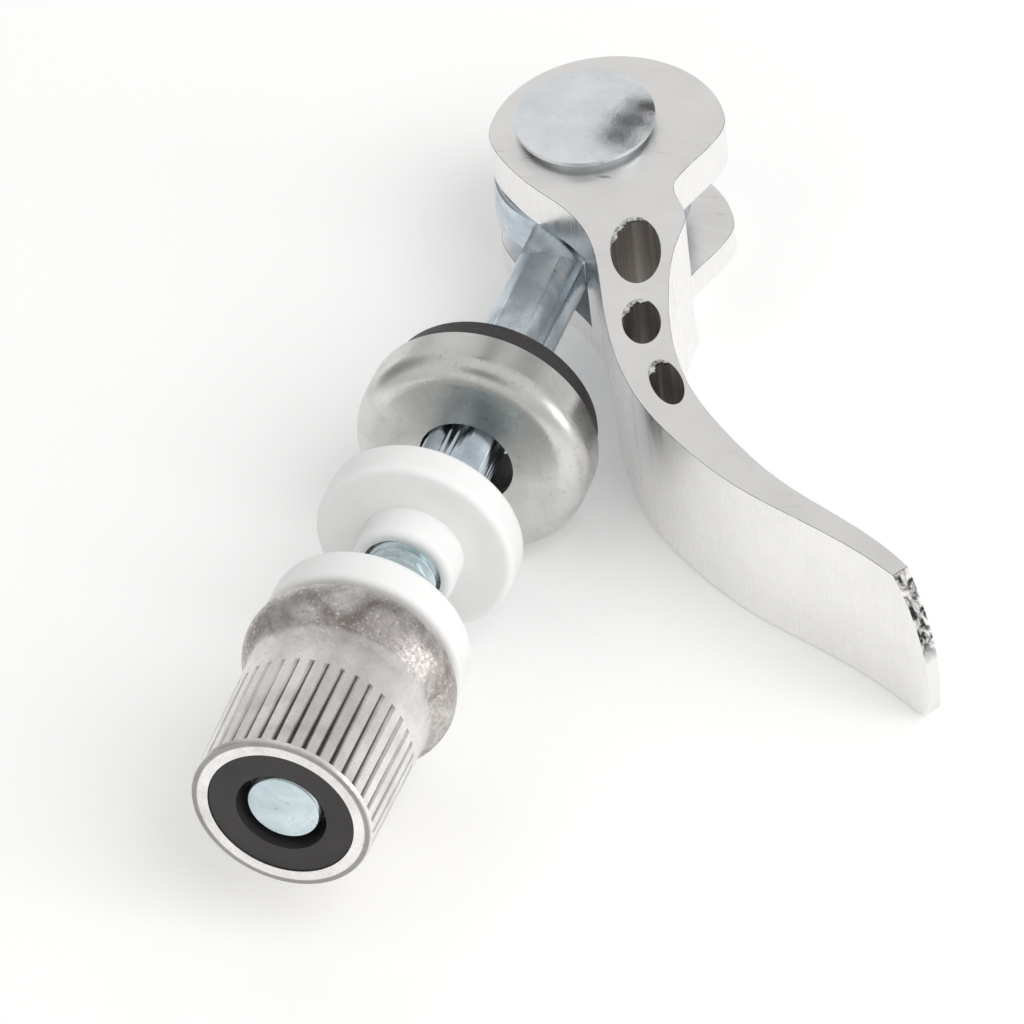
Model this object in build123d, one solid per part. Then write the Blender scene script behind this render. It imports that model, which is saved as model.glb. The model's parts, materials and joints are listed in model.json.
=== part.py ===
from build123d import *
import os
from math import asin, atan2, cos, degrees, hypot, radians, sin, tan

# Quick release for a seat clamp: a cam lever riveted to the eye of a threaded skewer,
# with a cup washer, two flanged bushings and a ribbed nut strung on the skewer.
# Millimetres. It lies on a bench, z = 0: the lever flat on its side, the skewer propped
# up by the rim of its cup washer. X runs along the skewer to the nut, Z up the pin.
# Everything is first placed with the pin's axis at x = y = 0, and then moved so that
# the origin is the middle of the underside of the whole.

# Cam lever, an extruded profile sawn to width
lever_width = 13.8
head_radius = 9.95
head_offset_x = 0.6
head_offset_y = 2.0
head_belly_angle = 278
head_brow_angle = 114
lower_ear_thickness = 2.3
slot_clearance = 1.75
slot_reach = 10.2
slot_turn = 48.8

# Lever's profile: the side towards the skewer, head to tip, then the back, tip to head
belly_points = [
    (5.6, -5.5), (8.3, -2.0), (10.2, 1.2), (12.9, 4.0), (19.2, 7.1), (25.5, 10.0),
    (30.9, 13.8), (35.2, 18.7), (38.8, 24.4), (41.6, 30.9), (44.2, 36.4),
]
back_points = [
    (43.2, 38.0), (40.4, 33.3), (37.2, 27.2), (32.7, 21.4), (28.4, 17.3), (23.4, 14.4),
    (17.2, 12.3), (11.6, 11.5), (9.0, 11.3), (7.3, 10.2), (5.6, 9.3), (4.2, 9.5), (1.2, 10.6),
]
belly_tip = (47.9, 42.0)
back_tip = (46.9, 42.6)
tip_place = (47.12, 41.56)
tip_run = (0.6, 0.8)
tip_setback = 3.35
tip_bulge = 1.44
tip_corner = 1.4

# Lightening holes through the lever: length, width, middle and turn of each
hole_sizes = [(8.0, 4.1), (5.3, 3.1), (5.4, 2.5)]
hole_places = [(13.9, 8.5), (22.0, 11.4), (28.4, 15.4)]
hole_turns = [19.5, 22.0, 32.5]

# Rivet that the lever turns on
pin_radius = 2.9
pin_head_radius = 5.9
pin_head_lift = 0.5
pin_rim_thickness = 0.55
pin_dome_rise = 0.75
pin_collar_radius = 5.0
pin_spread_radius = 3.7
pin_spread_depth = 0.7

# Skewer: forged eye, flattened shank and threaded end
eye_radius = 8.3
eye_thickness = 4.0
eye_drop = 0.2
eye_play = 0.45
eye_edge = 0.5
neck_clearance = 0.15
neck_ramp = 1.5
shank_radius = 3.06
shank_flat = 2.8
flats_start = 9.5
flats_end = 34.0
thread_radius = 2.95
thread_start = 42.0
skewer_length = 79.2
skewer_chamfer = 0.15
shank_offset = 0.3
skewer_lift = 1.15

# Cup washer, pressed, open towards the lever
cup_station = 32.7
cup_height = 4.4
cup_radius = 9.75
cup_wall = 1.1
cup_shoulder = 1.9
cup_hole_clearance = 0.89
cup_hang_side = 0.6
cup_hang_down = 0.26

# Cam seat pressed into the cup
seat_stand = 2.5
seat_front_radius = 8.9
seat_lip = 0.25
seat_hole_inset = 0.15
seat_dish_depth = 1.5
seat_dish_radius = 14.0

# Flanged bushings, both alike
bushing_flange_radius = 8.2
bushing_flange_thickness = 3.2
bushing_hub_radius = 4.2
bushing_hub_length = 3.0
bushing_clearance = 0.3
bushing_edge = 0.6
hub_gap = 3.97
nut_gap = 0.1

# Adjusting nut, with draft on its barrel
nut_length = 18.1
nut_end_stand = 0.67
nut_face_radius = 6.7
nut_flange_radius = 8.6
nut_flange_crown = 2.2
nut_brow_inset = 0.6
nut_brow_lead = 0.68
nut_neck_start = 5.8
nut_barrel_radius = 7.45
nut_draft = 0.25
nut_end_chamfer = 0.3
nut_bore_clearance = 0.05
rib_count = 38
rib_start = 8.8
rib_groove_width = 0.475
rib_groove_depth = 0.38
rib_land = 0.35

# Locking ring seated in the nut's open end
ring_radius = 5.75
ring_thickness = 3.2
ring_hole_clearance = 0.65
ring_clearance = 0.06
ring_recess = 0.12

UPWARDS = (Align.CENTER, Align.CENTER, Align.MIN)

slot_width = eye_thickness + 2 * slot_clearance
slot_middle = lower_ear_thickness + slot_width / 2
eye_bore_radius = pin_radius + eye_play
cup_hole_radius = shank_radius + cup_hole_clearance
seat_hole_radius = cup_hole_radius - seat_hole_inset
bushing_bore = thread_radius + bushing_clearance
ring_hole_radius = thread_radius + ring_hole_clearance
bushing_length = bushing_flange_thickness + bushing_hub_length
nut_end_station = skewer_length + nut_end_stand
nut_station = nut_end_station - nut_length
nut_bushing_station = nut_station - nut_gap
cup_bushing_station = nut_bushing_station - 2 * bushing_length - hub_gap

# The skewer's slope puts the lowest point of the cup's rim on the bench.
skewer_height = slot_middle + skewer_lift
rim_drop = cup_radius + cup_hang_down
skewer_slope = degrees(
    asin(rim_drop / hypot(rim_drop, cup_station))
    - asin(skewer_height / hypot(rim_drop, cup_station))
)

# The skewer is thinned from its eye as far as the ears sweep, to pass under the upper one.
neck_end = hypot(head_offset_x, head_offset_y) + head_radius + neck_clearance
headroom = (slot_middle + slot_width / 2 - skewer_height) / cos(radians(skewer_slope))
neck_top = headroom - neck_end * tan(radians(skewer_slope)) - neck_clearance


def direction(turn):
    return Vector(cos(radians(turn)), sin(radians(turn)))


def skewer_plane():
    """Frame along the skewer: its z is the station from the pin, its x points up."""
    slope = radians(skewer_slope)
    return Plane(
        origin=(0, shank_offset, skewer_height),
        x_dir=(-sin(slope), 0, cos(slope)),
        z_dir=(cos(slope), 0, sin(slope)),
    )


def rod(radius, start, end):
    """Plain cylinder on the skewer's axis between two stations."""
    return Pos(0, 0, start) * Cylinder(radius, end - start, align=UPWARDS)


def turned(*corners):
    """Solid turned about the skewer's axis from (radius, station) corners."""
    face = make_face(Polyline(*[(r, 0, z) for r, z in corners], close=True))
    return revolve(face, Axis.Z, 360)


def top_edges(piece):
    return piece.edges().group_by(Axis.Z)[-1]


def lever_outline():
    """Profile of the lever, seen along the pin."""
    head = Vector(head_offset_x, head_offset_y)
    belly_start = head + head_radius * direction(head_belly_angle)
    brow_start = head + head_radius * direction(head_brow_angle)
    cheek = head + head_radius * direction((head_belly_angle + head_brow_angle) / 2)
    belly = Spline(
        belly_start, *belly_points, belly_tip,
        tangents=[direction(head_belly_angle + 90), tip_run], tangent_scalars=[1, 1],
    )
    back = Spline(
        back_tip, *back_points, brow_start,
        tangents=[-Vector(*tip_run), direction(head_brow_angle + 90)], tangent_scalars=[1, 1],
    )
    crown = ThreePointArc(brow_start, cheek, belly_start)
    return make_face([belly, Line(belly_tip, back_tip), back, crown])


def blade_end():
    """Block whose rounded end trims the blade: sharp at the top, round at the bottom."""
    along = Vector(*tip_run)
    reach = hypot(*tip_place)
    inner = -2 * reach
    top = (-tip_setback, lever_width)
    low = (0, tip_corner)
    bow = (tip_bulge - tip_setback / 2, (lever_width + tip_corner) / 2)
    turn = tip_corner * (Vector(1, -1).normalized() + Vector(-1, 1))
    foot = (-tip_corner, 0)
    side = Plane(origin=tip_place, x_dir=along, z_dir=along.cross(Vector(0, 0, 1)))
    outline = [
        ThreePointArc(top, bow, low),
        ThreePointArc(low, turn, foot),
        Polyline(foot, (inner, 0), (inner, lever_width), top),
    ]
    return extrude(side * make_face(outline), reach, both=True)


def lever():
    body = extrude(lever_outline(), lever_width)
    body &= blade_end()
    depth = 4 * head_radius
    slot = Pos(slot_reach - depth / 2, 0, slot_middle) * Box(depth, depth, slot_width)
    body -= Rot(0, 0, slot_turn) * slot
    for (length, width), place, turn in zip(hole_sizes, hole_places, hole_turns):
        oval = Pos(*place) * Rot(0, 0, turn) * Ellipse(length / 2, width / 2)
        body -= extrude(oval, lever_width)
    return body - pin_shank()


def pin_shank():
    """Rivet's shank, spread into a countersink in the lower ear, flush with it."""
    spread = Cone(pin_spread_radius, pin_radius, pin_spread_depth, align=UPWARDS)
    return rod(pin_radius, 0, lever_width) + spread


def pin():
    under = lever_width + pin_head_lift
    rim = under + pin_rim_thickness
    brim = rod(pin_head_radius, under, rim)
    brim = fillet(brim.edges().group_by(Axis.Z)[0], pin_rim_thickness / 2)
    dome_radius = (pin_head_radius**2 + pin_dome_rise**2) / (2 * pin_dome_rise)
    ball = Pos(0, 0, rim + pin_dome_rise - dome_radius) * Sphere(dome_radius)
    dome = ball & rod(2 * pin_head_radius, rim, rim + 2 * pin_dome_rise)
    collar = rod(pin_collar_radius, lever_width, under + pin_rim_thickness / 2)
    return pin_shank() + collar + brim + dome


def skewer():
    eye_disc = Cylinder(eye_radius, eye_thickness)
    eye_disc = fillet(eye_disc.edges().filter_by(GeomType.CIRCLE), eye_edge)
    eye = Pos(-eye_drop, shank_offset, 0) * Rot(0, 90, 0) * eye_disc
    shank = rod(shank_radius, 0, thread_start) & neck_profile()
    flats = Pos(0, 0, flats_start) * Box(
        2 * shank_flat, 2 * shank_flat, flats_end - flats_start, align=UPWARDS
    )
    squared = rod(2 * shank_radius, flats_start, flats_end) - flats
    threaded = rod(thread_radius, thread_start, skewer_length)
    threaded = chamfer(top_edges(threaded), skewer_chamfer)
    bore = Pos(0, shank_offset, 0) * Rot(0, 90, 0) * Cylinder(eye_bore_radius, 3 * eye_thickness)
    return eye + (shank - squared) + threaded - bore


def neck_profile():
    """Side view of the skewer's shank, thinned towards the eye; wider than the shank."""
    spare = 2 * shank_radius
    full = neck_end + neck_ramp
    low = -eye_thickness / 2
    outline = Polyline(
        (neck_top, 0), (neck_top, neck_end), (shank_radius, full), (spare, full),
        (spare, thread_start), (-spare, thread_start), (-spare, full), (-shank_radius, full),
        (low, neck_end), (low, 0), close=True,
    )
    return extrude(Plane.XZ * make_face(outline), spare, both=True)


def hang(piece):
    """Lower a piece until it hangs on the shank, and move it to the lever's side."""
    return Pos(-cup_hang_down, -cup_hang_side, 0) * piece


def cup_washer():
    face = cup_station + cup_height
    shell = rod(cup_radius, cup_station, face)
    shell = fillet(top_edges(shell), cup_shoulder)
    hollow = rod(cup_radius - cup_wall, cup_station, face - cup_wall)
    hollow = fillet(top_edges(hollow), cup_shoulder - cup_wall)
    return hang(shell - hollow - rod(cup_hole_radius, cup_station, face))


def cam_seat():
    inner = cup_radius - cup_wall
    front = cup_station - seat_stand
    base = cup_station + cup_height - cup_wall
    lip = cup_radius - seat_lip
    seat = turned(
        (0, front), (seat_front_radius, front), (lip, cup_station),
        (inner, cup_station), (inner, base), (0, base),
    )
    seat = fillet(top_edges(seat), cup_shoulder - cup_wall)
    dish = Pos(0, 0, front + seat_dish_depth - seat_dish_radius) * Sphere(seat_dish_radius)
    return hang(seat - dish - rod(seat_hole_radius, front, base))


def bushing():
    """Flanged bushing standing on its flange, hub up."""
    flange = rod(bushing_flange_radius, 0, bushing_flange_thickness)
    flange = fillet(flange.edges(), bushing_edge)
    hub = rod(bushing_hub_radius, 0, bushing_length)
    hub = fillet(top_edges(hub), bushing_edge)
    return flange + hub - rod(bushing_bore, 0, bushing_length)


def cup_side_bushing():
    return Pos(0, 0, cup_bushing_station) * bushing()


def nut_side_bushing():
    return Pos(0, 0, nut_bushing_station) * Rot(180, 0, 0) * bushing()


def adjusting_nut():
    face = nut_station
    crown = face + nut_flange_crown
    neck = face + nut_neck_start
    end = nut_end_station
    end_radius = nut_barrel_radius - nut_draft
    shoulder = ThreePointArc(
        (nut_face_radius, face),
        (nut_flange_radius - nut_brow_inset, face + nut_brow_lead),
        (nut_flange_radius, crown),
    )
    waist = Spline(
        (nut_flange_radius, crown), ((nut_flange_radius + nut_barrel_radius) / 2, (crown + neck) / 2),
        (nut_barrel_radius, neck), tangents=[(0, 1), (-nut_draft, end - nut_end_chamfer - neck)],
    )
    outline = [
        Line((0, face), (nut_face_radius, face)),
        shoulder,
        waist,
        Polyline(
            (nut_barrel_radius, neck), (end_radius, end - nut_end_chamfer),
            (end_radius - nut_end_chamfer / 2, end), (0, end), (0, face),
        ),
    ]
    body = revolve(Plane.XZ * make_face(outline), Axis.Z, 360)
    body -= rod(thread_radius + nut_bore_clearance, face, end)
    body -= rod(ring_radius + ring_clearance, end - ring_recess - ring_thickness, end)
    return body - rib_grooves(face + rib_start, end - rib_land)


def rib_grooves(start, end):
    """V grooves between the nut's ribs, following the draft of the barrel."""
    taper = nut_draft / (nut_length - nut_end_chamfer - nut_neck_start)
    lean = degrees(atan2(taper, 1))
    floor = nut_barrel_radius - taper * (rib_start - nut_neck_start) - rib_groove_depth
    spare = 5
    half = spare * rib_groove_width / 2
    brim = spare * rib_groove_depth
    notch = make_face(Polyline((0, 0), (brim, -half), (brim, half), close=True))
    groove = Pos(floor, 0, start) * Rot(0, -lean, 0) * extrude(notch, end - start)
    turn = 360 / rib_count
    return [Rot(0, 0, i * turn) * groove for i in range(rib_count)]


def locking_ring():
    end = nut_end_station - ring_recess
    ring = rod(ring_radius, end - ring_thickness, end)
    return ring - rod(ring_hole_radius, end - ring_thickness, end)


strung = skewer_plane().location
pieces = {
    "cam_lever": lever(),
    "lever_pin": pin(),
    "skewer": strung * skewer(),
    "cup_washer": strung * cup_washer(),
    "cam_seat": strung * cam_seat(),
    "cup_side_bushing": strung * cup_side_bushing(),
    "nut_side_bushing": strung * nut_side_bushing(),
    "adjusting_nut": strung * adjusting_nut(),
    "locking_ring": strung * locking_ring(),
}

box = Compound(children=[piece.solid() for piece in pieces.values()]).bounding_box()
middle = box.center()
to_origin = Pos(-middle.X, -middle.Y, -box.min.Z)

os.makedirs("parts", exist_ok=True)
for name, piece in pieces.items():
    solid = to_origin * piece.solid()
    solid.label = name
    export_step(solid, f"parts/{name}.step")
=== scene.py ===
import json
import random
from math import cos, pi, radians, sin

import bmesh
import bpy
from mathutils import Matrix, Vector


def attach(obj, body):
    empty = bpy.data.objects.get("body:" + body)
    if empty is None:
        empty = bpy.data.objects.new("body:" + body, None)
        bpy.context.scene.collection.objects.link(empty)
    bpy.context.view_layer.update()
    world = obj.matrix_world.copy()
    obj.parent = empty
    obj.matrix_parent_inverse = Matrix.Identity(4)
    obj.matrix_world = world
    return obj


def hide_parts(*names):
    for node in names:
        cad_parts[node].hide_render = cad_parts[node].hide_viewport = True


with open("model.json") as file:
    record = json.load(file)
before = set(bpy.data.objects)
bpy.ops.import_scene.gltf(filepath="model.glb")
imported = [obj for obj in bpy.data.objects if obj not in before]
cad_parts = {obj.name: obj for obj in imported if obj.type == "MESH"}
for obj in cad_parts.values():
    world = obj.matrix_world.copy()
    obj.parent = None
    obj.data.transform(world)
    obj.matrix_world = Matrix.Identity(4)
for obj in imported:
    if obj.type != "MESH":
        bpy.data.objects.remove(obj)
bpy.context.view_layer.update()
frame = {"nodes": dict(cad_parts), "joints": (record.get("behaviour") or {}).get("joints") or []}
nodes = frame["nodes"]

MM = 0.001

# Camera, read from the circles of the photograph: its place from the foot of the lever's
# pin, and the directions that it has to its right, down and ahead.
camera_from_pin = Vector((0.358150, 0.138387, 0.345643))
camera_right = Vector((-0.298563, 0.949898, -0.092484))
camera_down = Vector((0.689683, 0.147757, -0.708877))
camera_ahead = Vector((-0.659695, -0.275429, -0.699243))
camera_lens = 213.27
camera_sensor = 36.0

# Black cards in the white tent: direction, full and faded half-angle, share of light lost
tent_cards = [
    ((-0.82, -0.02, 0.57), 3, 6, 0.95),
    ((-0.70, -0.03, 0.71), 4, 7, 0.92),
    ((-0.56, -0.04, 0.83), 4, 7, 0.92),
    ((-0.76, 0.40, 0.50), 8, 14, 0.6),
    ((0.62, 0.05, 0.78), 9, 22, 0.75),
    ((-0.15, -0.95, 0.30), 12, 36, 0.6),
]
tent_brightness = 0.94
tent_hem = 0.66
floor_glow = 0.18
floor_width = 3.0
floor_gap = 0.2 * MM

# Skewer and its M6 thread, as the CAD has them
thread_pitch = 1.0 * MM
thread_crest = 2.95 * MM
thread_depth = 0.58 * MM
thread_start = 42.0 * MM
thread_end = 79.2 * MM
thread_chamfer = 0.15 * MM
thread_runout = 1.2 * MM

# Lever: its thickness over the ears, its cut tip, and its lightening holes as the CAD
# has them from the pin: length, width, middle and turn of each
lever_width = 13.8 * MM
edge_break = 0.15 * MM
tip_run = Vector((0.6, 0.8, 0))
tip_place = Vector((47.12, 41.56, 0)) * MM
saw_turn = 108
lever_holes = [
    (8.0 * MM, 4.1 * MM, (13.9 * MM, 8.5 * MM), 19.5),
    (5.3 * MM, 3.1 * MM, (22.0 * MM, 11.4 * MM), 22.0),
    (5.4 * MM, 2.5 * MM, (28.4 * MM, 15.4 * MM), 32.5),
]

# Where each hole's torn lip starts, from +X, and how far round it reaches, in degrees
burr_arcs = [(170, 110), (172, 106), (172, 106)]

travel = next(j for j in frame["joints"] if j["name"] == "nut_travel")
spin = next(j for j in frame["joints"] if j["name"] == "nut_spin")
swing = next(j for j in frame["joints"] if j["name"] == "lever_swing")
skewer_run = Vector(travel["axis"]).normalized()
pin_place = Vector(swing["pos_m"])


def skewer_matrix():
    """Frame of the skewer: z along it from abeam the pin, x up."""
    place = Vector(spin["pos_m"])
    eye = place - skewer_run * ((place.x - pin_place.x) / skewer_run.x)
    up = Vector((-skewer_run.z, 0, skewer_run.x))
    side = skewer_run.cross(up)
    turn = Matrix((up, side, skewer_run)).transposed().to_4x4()
    return Matrix.Translation(eye) @ turn


def srgb(code):
    """Hex colour as linear RGBA."""
    values = [int(code[i:i + 2], 16) / 255 for i in (1, 3, 5)]
    linear = [v / 12.92 if v <= 0.04045 else ((v + 0.055) / 1.055) ** 2.4 for v in values]
    return (*linear, 1.0)


# Small helpers for shader and geometry trees


def add(tree, kind, settings=None, links=None, values=None):
    """A node of a tree with its settings, input values and incoming links."""
    node = tree.nodes.new(kind)
    for name, value in (settings or {}).items():
        setattr(node, name, value)
    for key, value in (values or {}).items():
        node.inputs[key].default_value = value
    for key, source in (links or {}).items():
        tree.links.new(source, node.inputs[key])
    return node


def new_material(name):
    material = bpy.data.materials.new(name)
    material.use_nodes = True
    tree = material.node_tree
    tree.nodes.clear()
    shader = add(tree, "ShaderNodeBsdfPrincipled")
    add(tree, "ShaderNodeOutputMaterial", links={"Surface": shader.outputs["BSDF"]})
    place = add(tree, "ShaderNodeTexCoord")
    return material, tree, shader, place


def mapped(tree, place, scale, turn=(0, 0, 0)):
    return add(
        tree, "ShaderNodeMapping", values={"Scale": scale, "Rotation": turn},
        links={"Vector": place.outputs["Object"]},
    ).outputs["Vector"]


def noise(tree, vector, scale, detail=4.0, roughness=0.55, distortion=0.0):
    return add(
        tree, "ShaderNodeTexNoise",
        values={"Scale": scale, "Detail": detail, "Roughness": roughness, "Distortion": distortion},
        links={"Vector": vector},
    ).outputs["Fac"]


def span(tree, value, low, high, to_low=0.0, to_high=1.0):
    """Value brought from one range to another and kept inside it."""
    return add(
        tree, "ShaderNodeMapRange", {"clamp": True},
        values={"From Min": low, "From Max": high, "To Min": to_low, "To Max": to_high},
        links={"Value": value},
    ).outputs["Result"]


def calc(tree, operation, a, b=None):
    node = add(tree, "ShaderNodeMath", {"operation": operation})
    for i, value in enumerate((a, b)):
        if value is None:
            continue
        if isinstance(value, (int, float)):
            node.inputs[i].default_value = value
        else:
            tree.links.new(value, node.inputs[i])
    return node.outputs["Value"]


def blend_colour(tree, factor, first, second):
    node = add(tree, "ShaderNodeMix", {"data_type": "RGBA"}, links={"Factor": factor})
    for socket, value in ((node.inputs[6], first), (node.inputs[7], second)):
        if isinstance(value, str):
            socket.default_value = srgb(value)
        else:
            tree.links.new(value, socket)
    return node.outputs[2]


def bumped(tree, shader, height, strength, distance):
    bump = add(
        tree, "ShaderNodeBump", values={"Strength": strength, "Distance": distance},
        links={"Height": height},
    )
    tree.links.new(bump.outputs["Normal"], shader.inputs["Normal"])


def feed(tree, shader, **sources):
    for name, source in sources.items():
        socket = shader.inputs[name.replace("_", " ").title()]
        if isinstance(source, (int, float)):
            socket.default_value = source
        else:
            tree.links.new(source, socket)


# Finishes


def sawn_aluminium():
    """Aluminium lever: extruded, so its walls carry die lines along the pin, and sawn
    to width, so its faces carry fine saw marks across the blade."""
    material, tree, shader, place = new_material("sawn_extruded_aluminium")
    facing = add(tree, "ShaderNodeSeparateXYZ", links={"Vector": place.outputs["Normal"]})
    flat = span(tree, calc(tree, "ABSOLUTE", facing.outputs["Z"]), 0.9, 0.97)
    across = mapped(tree, place, (2600, 260, 60), (0, 0, radians(90 - saw_turn)))
    saw = noise(tree, across, 1.0, 2.0, 0.5)
    marks = span(tree, saw, 0.66, 0.74)
    patch = span(tree, noise(tree, mapped(tree, place, (1, 1, 1)), 210, 2.0), 0.5, 0.68)
    marks = calc(tree, "MULTIPLY", calc(tree, "MULTIPLY", marks, patch), flat)
    die = noise(tree, mapped(tree, place, (1500, 1500, 25)), 1.0, 3.0, 0.6)
    cloud = noise(tree, mapped(tree, place, (1, 1, 1)), 220, 4.0)
    face = blend_colour(tree, span(tree, cloud, 0.35, 0.7), "#FBFAF9", "#F4F3F1")
    wall = blend_colour(tree, span(tree, cloud, 0.35, 0.7), "#F8F7F6", "#F3F2F1")
    base = blend_colour(tree, flat, wall, face)
    base = blend_colour(tree, calc(tree, "MULTIPLY", marks, 0.6), base, "#77746F")
    rough_flat = span(tree, saw, 0.3, 0.75, 0.3, 0.42)
    rough_wall = span(tree, die, 0.3, 0.7, 0.2, 0.34)
    rough = add(tree, "ShaderNodeMix", links={"Factor": flat, 2: rough_wall, 3: rough_flat}).outputs[0]
    height = add(tree, "ShaderNodeMix", links={"Factor": flat, 2: die, 3: saw}).outputs[0]
    feed(tree, shader, base_color=base, metallic=1.0, roughness=rough)
    bumped(tree, shader, height, 0.1, 0.03 * MM)
    return material


def edge_aluminium():
    """Edge of the lever: broken with a file and dull, its colour painted dark in patches as painted shade
    along the edge.
    """
    material, tree, shader, place = new_material("filed_aluminium_edge")
    wear_and_painted_shade = noise(tree, mapped(tree, place, (1, 1, 1)), 700, 4.0, 0.6)
    # Painted shade: the dark patches draw the dark line along the broken edge; the same noise gives the
    # filed wear in roughness and bumps
    base = blend_colour(tree, span(tree, wear_and_painted_shade, 0.5, 0.64), "#2E2C2B", "#B9B7B5")
    feed(tree, shader, base_color=base, metallic=1.0, roughness=span(tree, wear_and_painted_shade, 0.3, 0.7, 0.3, 0.5))
    bumped(tree, shader, wear_and_painted_shade, 0.3, 0.03 * MM)
    return material


def cut_aluminium():
    """Tip of the blade: cropped, torn dark over its upper half, burnished below."""
    material, tree, shader, place = new_material("cropped_aluminium_tip")
    tear = noise(tree, mapped(tree, place, (1, 1, 0.5)), 1100, 6.0, 0.75, 0.6)
    where = add(tree, "ShaderNodeSeparateXYZ", links={"Vector": place.outputs["Object"]})
    torn = span(tree, where.outputs["Z"], 6.2 * MM, 8.2 * MM)
    dark = calc(tree, "MULTIPLY", span(tree, tear, 0.58, 0.44), torn)
    base = blend_colour(tree, dark, "#F4F3F1", "#332F2F")
    feed(tree, shader, base_color=base, metallic=1.0, roughness=span(tree, tear, 0.3, 0.7, 0.35, 0.6))
    bumped(tree, shader, tear, 0.9, 0.15 * MM)
    return material


def bored_aluminium():
    """Wall of a lightening hole: scored along its depth by the cutter."""
    material, tree, shader, place = new_material("bored_aluminium_wall")
    score = noise(tree, mapped(tree, place, (1100, 1100, 18)), 1.0, 4.0, 0.65)
    base = blend_colour(tree, span(tree, score, 0.36, 0.64), "#DDD7D2", "#FFFDFB")
    feed(tree, shader, base_color=base, metallic=1.0, roughness=span(tree, score, 0.3, 0.7, 0.28, 0.48))
    bumped(tree, shader, score, 0.6, 0.08 * MM)
    return material


def burred_aluminium():
    """Burr left by the cutter: torn, bright metal."""
    material, tree, shader, place = new_material("torn_aluminium_burr")
    torn = noise(tree, mapped(tree, place, (1, 1, 1)), 1600, 4.0, 0.7)
    base = blend_colour(tree, span(tree, torn, 0.38, 0.6), "#9B9A97", "#F6F6F5")
    feed(tree, shader, base_color=base, metallic=1.0, roughness=span(tree, torn, 0.3, 0.7, 0.2, 0.4))
    bumped(tree, shader, torn, 0.7, 0.06 * MM)
    return material


def from_axis(tree, place):
    """Distance of a surface point from the skewer's axis."""
    matrix = skewer_matrix()
    away = add(
        tree, "ShaderNodeVectorMath", {"operation": "SUBTRACT"},
        values={1: matrix.translation}, links={0: place.outputs["Object"]},
    )
    crossed = add(
        tree, "ShaderNodeVectorMath", {"operation": "CROSS_PRODUCT"},
        values={1: skewer_run}, links={0: away.outputs["Vector"]},
    )
    return add(
        tree, "ShaderNodeVectorMath", {"operation": "LENGTH"}, links={0: crossed.outputs["Vector"]}
    ).outputs["Value"]


def zinc_plate(name, first, second, rough, speckle, pits=0.3):
    """Bright zinc plate on steel: a mottled film with fine pits."""
    material, tree, shader, place = new_material(name)
    vector = mapped(tree, place, (1, 1, 1))
    film = noise(tree, vector, 260, 5.0, 0.62, 0.4)
    grain = noise(tree, vector, speckle, 3.0, 0.6)
    base = blend_colour(tree, span(tree, film, 0.32, 0.68), first, second)
    dark = span(tree, grain, 0.62, 0.78)
    base = blend_colour(tree, calc(tree, "MULTIPLY", dark, pits), base, "#50565A")
    height = calc(tree, "ADD", calc(tree, "MULTIPLY", film, 0.5), grain)
    feed(
        tree, shader, base_color=base, metallic=1.0,
        roughness=span(tree, film, 0.3, 0.75, rough, rough + 0.18),
    )
    bumped(tree, shader, height, 0.3, 0.03 * MM)
    return material


def cast_zinc():
    """Nut: die-cast, with the mottled, sparkling skin that the mould leaves. Its ribbed
    barrel is painted lighter than its flange, and painted shade darkens the grooves between the ribs."""
    material, tree, shader, place = new_material("die_cast_zinc_alloy")
    vector = mapped(tree, place, (1, 1, 1))
    blotch = noise(tree, vector, 230, 5.0, 0.65, 0.8)
    sparkle = noise(tree, vector, 3400, 3.0, 0.7)
    radius = from_axis(tree, place)
    flange = blend_colour(tree, span(tree, blotch, 0.34, 0.66), "#E2DEDB", "#8F8783")
    barrel = blend_colour(tree, span(tree, blotch, 0.34, 0.66), "#FBFAF9", "#E2DEDB")
    base = blend_colour(tree, span(tree, radius, 7.4 * MM, 7.6 * MM), barrel, flange)
    dull = span(tree, radius, 7.4 * MM, 7.6 * MM, 0.2, 0.6)
    dark_grains = calc(tree, "MULTIPLY", span(tree, sparkle, 0.58, 0.72), dull)
    base = blend_colour(tree, dark_grains, base, "#5B534F")
    bright_grains = calc(tree, "MULTIPLY", span(tree, sparkle, 0.42, 0.3), 0.7)
    base = blend_colour(tree, bright_grains, base, "#F7F5F3")
    # Painted shade: the grooves between the ribs, where shade falls, are darkened in the colour
    groove_painted_shade = calc(
        tree, "MULTIPLY", span(tree, radius, 7.14 * MM, 7.0 * MM), span(tree, radius, 6.6 * MM, 6.7 * MM)
    )
    base = blend_colour(tree, calc(tree, "MULTIPLY", groove_painted_shade, 0.65), base, "#4A4441")
    feed(
        tree, shader, base_color=base, metallic=1.0,
        roughness=span(tree, sparkle, 0.3, 0.7, 0.26, 0.5),
    )
    bumped(tree, shader, calc(tree, "ADD", calc(tree, "MULTIPLY", blotch, 1.5), sparkle), 0.45, 0.05 * MM)
    return material


def moulded_nylon(name, light, shade, rough, translucent=0.0):
    """Nylon as it leaves the mould: faint clouding and a fine skin."""
    material, tree, shader, place = new_material(name)
    vector = mapped(tree, place, (1, 1, 1))
    cloud = noise(tree, vector, 180, 3.0)
    skin = noise(tree, vector, 3000, 3.0)
    base = blend_colour(tree, span(tree, cloud, 0.3, 0.7), light, shade)
    feed(tree, shader, base_color=base, roughness=span(tree, skin, 0.3, 0.7, rough, rough + 0.12))
    if translucent:
        shader.inputs["Subsurface Weight"].default_value = translucent
        shader.inputs["Subsurface Radius"].default_value = (1.0, 0.95, 0.9)
        shader.inputs["Subsurface Scale"].default_value = 1.2 * MM
    bumped(tree, shader, skin, 0.15, 0.02 * MM)
    return material


# Thread


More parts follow.
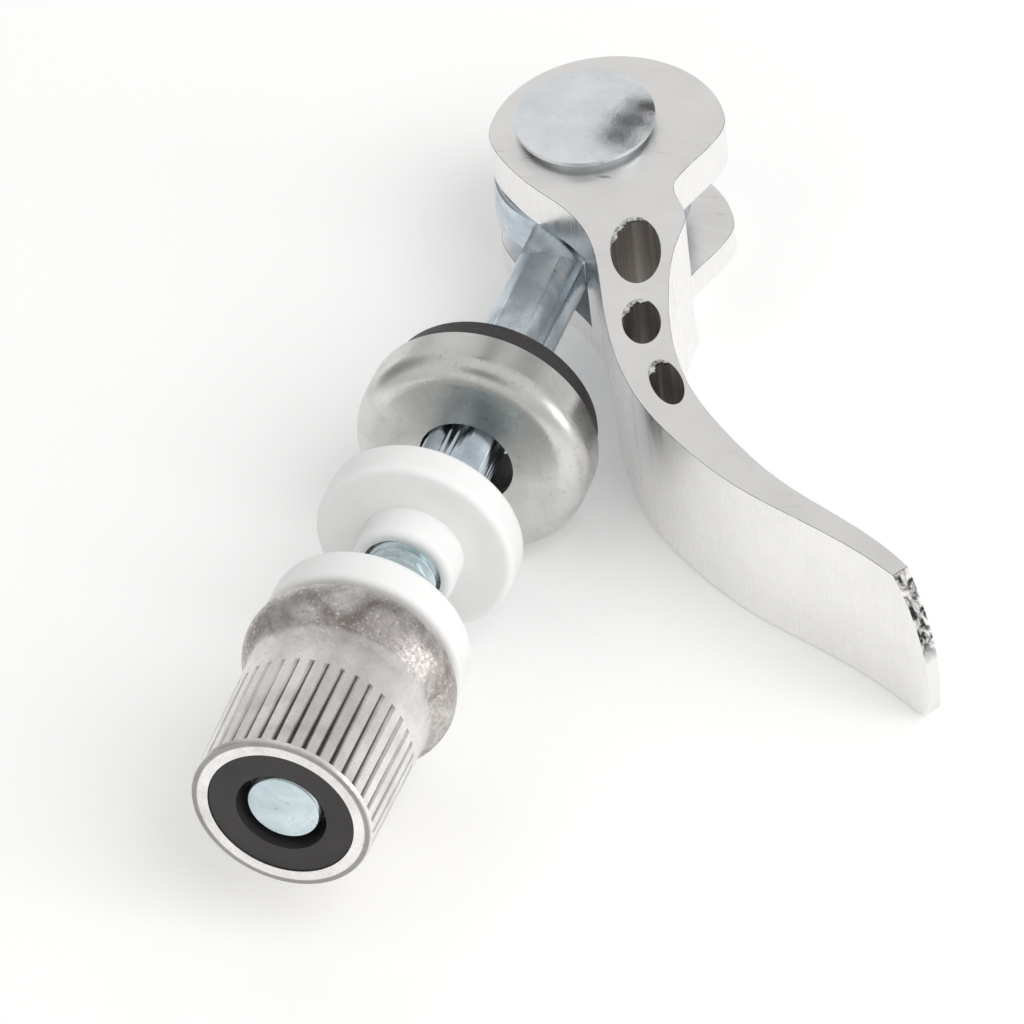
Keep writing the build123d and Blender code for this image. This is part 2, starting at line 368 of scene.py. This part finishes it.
def thread_tree():
    """Wall of a screw thread: a grid rolled up, its radius waving along the helix."""
    tree = bpy.data.node_groups.new("screw_thread", "GeometryNodeTree")
    tree.interface.new_socket("Geometry", in_out="OUTPUT", socket_type="NodeSocketGeometry")
    sizes = {}
    for name in ("Length", "Pitch", "Crest", "Depth", "Chamfer", "Runout"):
        sizes[name] = tree.interface.new_socket(name, in_out="INPUT", socket_type="NodeSocketFloat")
    steel = tree.interface.new_socket("Steel", in_out="INPUT", socket_type="NodeSocketMaterial")
    given = add(tree, "NodeGroupInput").outputs
    rows, columns = 560, 64
    grid = add(
        tree, "GeometryNodeMeshGrid",
        values={"Size X": 1.0, "Size Y": 1.0, "Vertices X": columns + 1, "Vertices Y": rows + 1},
    )
    place = add(tree, "GeometryNodeInputPosition")
    where = add(tree, "ShaderNodeSeparateXYZ", links={"Vector": place.outputs[0]})
    turn = calc(tree, "MULTIPLY", calc(tree, "ADD", where.outputs["X"], 0.5), 2 * pi)
    along = calc(tree, "MULTIPLY", calc(tree, "ADD", where.outputs["Y"], 0.5), given["Length"])
    turns_along = calc(tree, "DIVIDE", along, given["Pitch"])
    phase = calc(tree, "SUBTRACT", turns_along, calc(tree, "DIVIDE", turn, 2 * pi))
    wave = calc(tree, "PINGPONG", phase, 0.5)
    valley = calc(tree, "MINIMUM", calc(tree, "MULTIPLY", calc(tree, "SUBTRACT", wave, 0.06), 2.6), 1.0)
    valley = calc(tree, "MAXIMUM", valley, 0.0)
    grown = calc(tree, "MINIMUM", calc(tree, "DIVIDE", along, given["Runout"]), 1.0)
    dip = calc(tree, "MULTIPLY", calc(tree, "MULTIPLY", valley, given["Depth"]), grown)
    radius = calc(tree, "SUBTRACT", given["Crest"], dip)
    left = calc(tree, "SUBTRACT", given["Length"], along)
    cone = calc(tree, "ADD", calc(tree, "SUBTRACT", given["Crest"], given["Chamfer"]), left)
    radius = calc(tree, "MINIMUM", radius, cone)
    point = add(
        tree, "ShaderNodeCombineXYZ",
        links={
            "X": calc(tree, "MULTIPLY", radius, calc(tree, "COSINE", turn)),
            "Y": calc(tree, "MULTIPLY", radius, calc(tree, "SINE", turn)),
            "Z": along,
        },
    )
    rolled = add(
        tree, "GeometryNodeSetPosition",
        links={"Geometry": grid.outputs["Mesh"], "Position": point.outputs[0]},
    )
    closed = add(
        tree, "GeometryNodeMergeByDistance", values={"Distance": 0.002 * MM},
        links={"Geometry": rolled.outputs[0]},
    )
    end = add(
        tree, "GeometryNodeMeshCircle", {"fill_type": "NGON"}, values={"Vertices": columns},
        links={"Radius": calc(tree, "SUBTRACT", given["Crest"], given["Chamfer"])},
    )
    lift = add(tree, "ShaderNodeCombineXYZ", links={"Z": given["Length"]})
    capped = add(
        tree, "GeometryNodeTransform",
        links={"Geometry": end.outputs["Mesh"], "Translation": lift.outputs[0]},
    )
    both = add(tree, "GeometryNodeJoinGeometry")
    tree.links.new(capped.outputs[0], both.inputs[0])
    tree.links.new(closed.outputs[0], both.inputs[0])
    real = add(tree, "GeometryNodeRealizeInstances", links={"Geometry": both.outputs[0]})
    finished = add(
        tree, "GeometryNodeSetMaterial",
        links={"Geometry": real.outputs[0], "Material": given["Steel"]},
    )
    out = add(tree, "NodeGroupOutput")
    tree.links.new(finished.outputs[0], out.inputs[0])
    return tree, sizes, steel


def rolled_thread(material):
    """Mesh of the skewer's thread, in the row frame."""
    tree, sizes, steel = thread_tree()
    carrier = bpy.data.objects.new("thread_blank", bpy.data.meshes.new("thread_blank"))
    bpy.context.scene.collection.objects.link(carrier)
    modifier = carrier.modifiers.new("screw_thread", "NODES")
    modifier.node_group = tree
    given = {
        "Length": thread_end - thread_start, "Pitch": thread_pitch, "Crest": thread_crest,
        "Depth": thread_depth, "Chamfer": thread_chamfer, "Runout": thread_runout,
    }
    for name, value in given.items():
        modifier[sizes[name].identifier] = value
    modifier[steel.identifier] = material
    bpy.context.view_layer.update()
    evaluated = carrier.evaluated_get(bpy.context.evaluated_depsgraph_get())
    mesh = bpy.data.meshes.new_from_object(evaluated)
    bpy.data.objects.remove(carrier)
    mesh.transform(skewer_matrix() @ Matrix.Translation((0, 0, thread_start)))
    return mesh


def threaded_skewer(forging, thread_steel):
    """The skewer with its real thread in place of the plain stretch."""
    source = nodes["skewer"].data
    work = bmesh.new()
    work.from_mesh(source)
    bmesh.ops.remove_doubles(work, verts=work.verts, dist=0.001 * MM)
    cut = skewer_matrix() @ Vector((0, 0, thread_start + 0.02 * MM))
    bmesh.ops.bisect_plane(
        work, geom=work.verts[:] + work.edges[:] + work.faces[:], plane_co=cut,
        plane_no=skewer_run, clear_outer=True,
    )
    mesh = bpy.data.meshes.new("skewer_with_thread")
    work.to_mesh(mesh)
    work.free()
    mesh.materials.clear()
    mesh.materials.append(forging)
    mesh.materials.append(thread_steel)
    for polygon in mesh.polygons:
        polygon.material_index = 0
    thread = rolled_thread(thread_steel)
    whole = bmesh.new()
    whole.from_mesh(mesh)
    shank_faces = len(whole.faces)
    whole.from_mesh(thread)
    whole.faces.ensure_lookup_table()
    for face in whole.faces[shank_faces:]:
        face.material_index = 1
    bmesh.ops.recalc_face_normals(whole, faces=whole.faces[shank_faces:])
    whole.to_mesh(mesh)
    whole.free()
    bpy.data.meshes.remove(thread)
    mesh.shade_smooth()
    mesh.set_sharp_from_angle(angle=0.6)
    skewer = bpy.data.objects.new("skewer_with_thread", mesh)
    bpy.context.scene.collection.objects.link(skewer)
    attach(skewer, "skewer")
    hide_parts("skewer")
    return skewer


def hole_wall(point):
    """Index of the lightening hole whose wall a point is on, or None."""
    for i, (length, width, place, turn) in enumerate(lever_holes):
        away = Vector((point.x - pin_place.x - place[0], point.y - pin_place.y - place[1]))
        away.rotate(Matrix.Rotation(-radians(turn), 2))
        if abs((2 * away.x / length) ** 2 + (2 * away.y / width) ** 2 - 1) < 0.12:
            return i
    return None


def edged_lever(wall, edge, cut, bored):
    """The sawn lever with its edges broken and its sawn faces dead flat, and each of its
    surfaces as it was made."""
    work = bmesh.new()
    work.from_mesh(nodes["cam_lever"].data)
    bmesh.ops.remove_doubles(work, verts=work.verts, dist=0.001 * MM)
    bmesh.ops.dissolve_limit(work, angle_limit=radians(0.3), verts=work.verts[:], edges=work.edges[:])
    tip = Vector((pin_place.x, pin_place.y, 0)) + tip_place
    for face in work.faces:
        middle = face.calc_center_median()
        upright = abs(face.normal.z) < 0.5
        if upright and hole_wall(middle) is not None:
            face.material_index = 3
        elif face.normal.dot(tip_run) > 0.6 and (middle - tip).dot(tip_run) > -3.2 * MM:
            face.material_index = 2
    sharp = [
        e for e in work.edges
        if len(e.link_faces) == 2 and e.calc_face_angle(0) > radians(40)
        and any(abs(f.normal.z) > 0.95 for f in e.link_faces)
    ]
    bmesh.ops.bevel(
        work, geom=sharp, offset=edge_break, offset_type="OFFSET", segments=1, profile=0.5,
        affect="EDGES", clamp_overlap=True, material=1,
    )
    bmesh.ops.triangulate(work, faces=[f for f in work.faces if len(f.verts) > 4])
    mesh = bpy.data.meshes.new("lever_with_broken_edges")
    work.to_mesh(mesh)
    work.free()
    for material in (wall, edge, cut, bored):
        mesh.materials.append(material)
    mesh.shade_smooth()
    mesh.set_sharp_from_angle(angle=radians(28))
    for polygon in mesh.polygons:
        if abs(polygon.normal.z) > 0.98:
            polygon.use_smooth = False
    lever = bpy.data.objects.new("lever_with_broken_edges", mesh)
    bpy.context.scene.collection.objects.link(lever)
    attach(lever, "lever")
    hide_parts("cam_lever")


def hole_burr(index, material):
    """Torn lip that the cutter pushed over one side of the top of a hole."""
    length, width, place, turn = lever_holes[index]
    chance = random.Random(40 + index)
    count = 40
    first, reach = burr_arcs[index]
    swell = [chance.random() for _ in range(count + 5)]
    work = bmesh.new()
    rows = []
    for step in range(count + 1):
        share = step / count
        angle = radians(first + reach * share) - radians(turn)
        taper = min(1.0, 6 * share, 6 * (1 - share))
        calm = sum(swell[step:step + 5]) / 5
        tooth = taper * (0.12 * MM + calm * 0.5 * MM + max(0.0, swell[step] - 0.75) * 0.8 * MM)
        lift = (0.02 + 0.07 * swell[step]) * MM
        row = []
        for inset, height in (
            (-0.07 * MM, -0.01 * MM), (0.02 * MM, lift), (tooth, lift * 0.4),
            (tooth, -0.18 * MM), (0.0, -0.4 * MM * taper - 0.04 * MM),
        ):
            spot = Vector(((length / 2 - inset) * cos(angle), (width / 2 - inset) * sin(angle)))
            spot.rotate(Matrix.Rotation(radians(turn), 2))
            x, y = pin_place.x + place[0] + spot.x, pin_place.y + place[1] + spot.y
            row.append(work.verts.new((x, y, lever_width + height)))
        rows.append(row)
    for here, there in zip(rows, rows[1:]):
        for k in range(5):
            n = (k + 1) % 5
            work.faces.new((here[k], there[k], there[n], here[n]))
    work.faces.new(rows[0])
    work.faces.new(rows[-1])
    bmesh.ops.recalc_face_normals(work, faces=work.faces[:])
    mesh = bpy.data.meshes.new(f"hole_burr_{index + 1}")
    work.to_mesh(mesh)
    work.free()
    mesh.materials.append(material)
    burr = bpy.data.objects.new(f"hole_burr_{index + 1}", mesh)
    bpy.context.scene.collection.objects.link(burr)
    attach(burr, "lever")


def finish_node(name, material):
    mesh = nodes[name].data
    mesh.materials.clear()
    mesh.materials.append(material)


# Studio


def studio_floor():
    """Pale sheet under the part, which glows a little to the eye and in the metal and
    keeps the part's shadow."""
    material = bpy.data.materials.new("white_sheet")
    material.use_nodes = True
    tree = material.node_tree
    tree.nodes.clear()
    paper = add(tree, "ShaderNodeBsdfDiffuse", values={"Color": srgb("#F4F4F3")})
    path = add(tree, "ShaderNodeLightPath")
    straight = calc(tree, "MAXIMUM", path.outputs["Is Camera Ray"], path.outputs["Is Transmission Ray"])
    shown = calc(tree, "MAXIMUM", straight, path.outputs["Is Glossy Ray"])
    glow = add(
        tree, "ShaderNodeEmission", values={"Color": (1, 1, 1, 1)},
        links={"Strength": calc(tree, "MULTIPLY", shown, floor_glow)},
    )
    seen = add(tree, "ShaderNodeAddShader", links={0: paper.outputs[0], 1: glow.outputs[0]})
    add(tree, "ShaderNodeOutputMaterial", links={"Surface": seen.outputs[0]})
    mesh = bpy.data.meshes.new("floor")
    half = floor_width / 2
    corners = [(-half, -half, 0), (half, -half, 0), (half, half, 0), (-half, half, 0)]
    mesh.from_pydata(corners, [], [(0, 1, 2, 3)])
    mesh.materials.append(material)
    floor = bpy.data.objects.new("floor", mesh)
    floor.location.z = -floor_gap
    bpy.context.scene.collection.objects.link(floor)


def studio_sky():
    """White tent with black cards, dimmer at its hem."""
    world = bpy.data.worlds.new("studio")
    bpy.context.scene.world = world
    world.use_nodes = True
    tree = world.node_tree
    tree.nodes.clear()
    place = add(tree, "ShaderNodeTexCoord")
    where = add(tree, "ShaderNodeSeparateXYZ", links={"Vector": place.outputs["Generated"]})
    glow = span(tree, where.outputs["Z"], 0.02, 0.3, tent_hem, tent_brightness)
    for toward, inner, outer, loss in tent_cards:
        aim = add(
            tree, "ShaderNodeVectorMath", {"operation": "DOT_PRODUCT"},
            values={1: Vector(toward).normalized()}, links={0: place.outputs["Generated"]},
        ).outputs["Value"]
        card = span(tree, aim, cos(radians(outer)), cos(radians(inner)), 1.0, 1.0 - loss)
        glow = calc(tree, "MULTIPLY", glow, card)
    tent = add(tree, "ShaderNodeBackground", links={"Strength": glow})
    white = add(tree, "ShaderNodeBackground", values={"Strength": 1.0})
    path = add(tree, "ShaderNodeLightPath")
    seen = add(
        tree, "ShaderNodeMixShader",
        links={0: path.outputs["Is Camera Ray"], 1: tent.outputs[0], 2: white.outputs[0]},
    )
    add(tree, "ShaderNodeOutputWorld", links={"Surface": seen.outputs[0]})


def softbox(name, place, target, size, power, mirrored=True):
    light = bpy.data.lights.new(name, "AREA")
    light.shape = "RECTANGLE"
    light.size, light.size_y = size
    light.energy = power
    lamp = bpy.data.objects.new(name, light)
    lamp.location = place
    lamp.rotation_euler = (Vector(target) - Vector(place)).to_track_quat("-Z", "Y").to_euler()
    lamp.visible_glossy = mirrored
    bpy.context.scene.collection.objects.link(lamp)


def camera():
    data = bpy.data.cameras.new("camera")
    data.sensor_width = camera_sensor
    data.lens = camera_lens
    data.clip_start = 0.01
    shot = bpy.data.objects.new("camera", data)
    turn = Matrix((camera_right, -camera_down, -camera_ahead)).transposed().to_4x4()
    foot = Vector((pin_place.x, pin_place.y, 0))
    shot.matrix_world = Matrix.Translation(foot + camera_from_pin) @ turn
    bpy.context.scene.collection.objects.link(shot)
    bpy.context.scene.camera = shot


camera()
studio_floor()
studio_sky()
softbox("key", (0.25, 0.6, 0.75), (0, 0, 0), (0.7, 0.7), 3.6, mirrored=False)
softbox("side", (0.03, 0.8, 0.22), (0, 0, 0), (0.35, 0.3), 1.0)
bpy.context.scene.view_settings.view_transform = "Standard"

aluminium = sawn_aluminium()
rivet = zinc_plate("zinc_plated_rivet", "#F4F6F8", "#E4E9ED", 0.1, 1500, 0.15)
forging = zinc_plate("zinc_plated_forging", "#DDE7EE", "#B6C1C9", 0.2, 2100, 0.55)
thread_steel = zinc_plate("zinc_plated_thread", "#E0ECEF", "#B9CACF", 0.22, 2400, 0.6)
pressing = zinc_plate("zinc_plated_pressing", "#DEDEDB", "#CCCCC9", 0.22, 2800, 0.45)
white_nylon = moulded_nylon("natural_white_nylon", "#F7F7F6", "#F0F0EF", 0.38, 0.5)
black_nylon = moulded_nylon("black_nylon", "#2B2728", "#1F1C1D", 0.5)
grey_nylon = moulded_nylon("dark_grey_nylon", "#343133", "#282527", 0.45)
cast = cast_zinc()

edged_lever(aluminium, edge_aluminium(), cut_aluminium(), bored_aluminium())
burr_metal = burred_aluminium()
for index in range(len(lever_holes)):
    hole_burr(index, burr_metal)
finish_node("lever_pin", rivet)
finish_node("cup_washer", pressing)
finish_node("cam_seat", black_nylon)
finish_node("cup_side_bushing", white_nylon)
finish_node("nut_side_bushing", white_nylon)
finish_node("adjusting_nut", cast)
finish_node("locking_ring", grey_nylon)
threaded_skewer(forging, thread_steel)
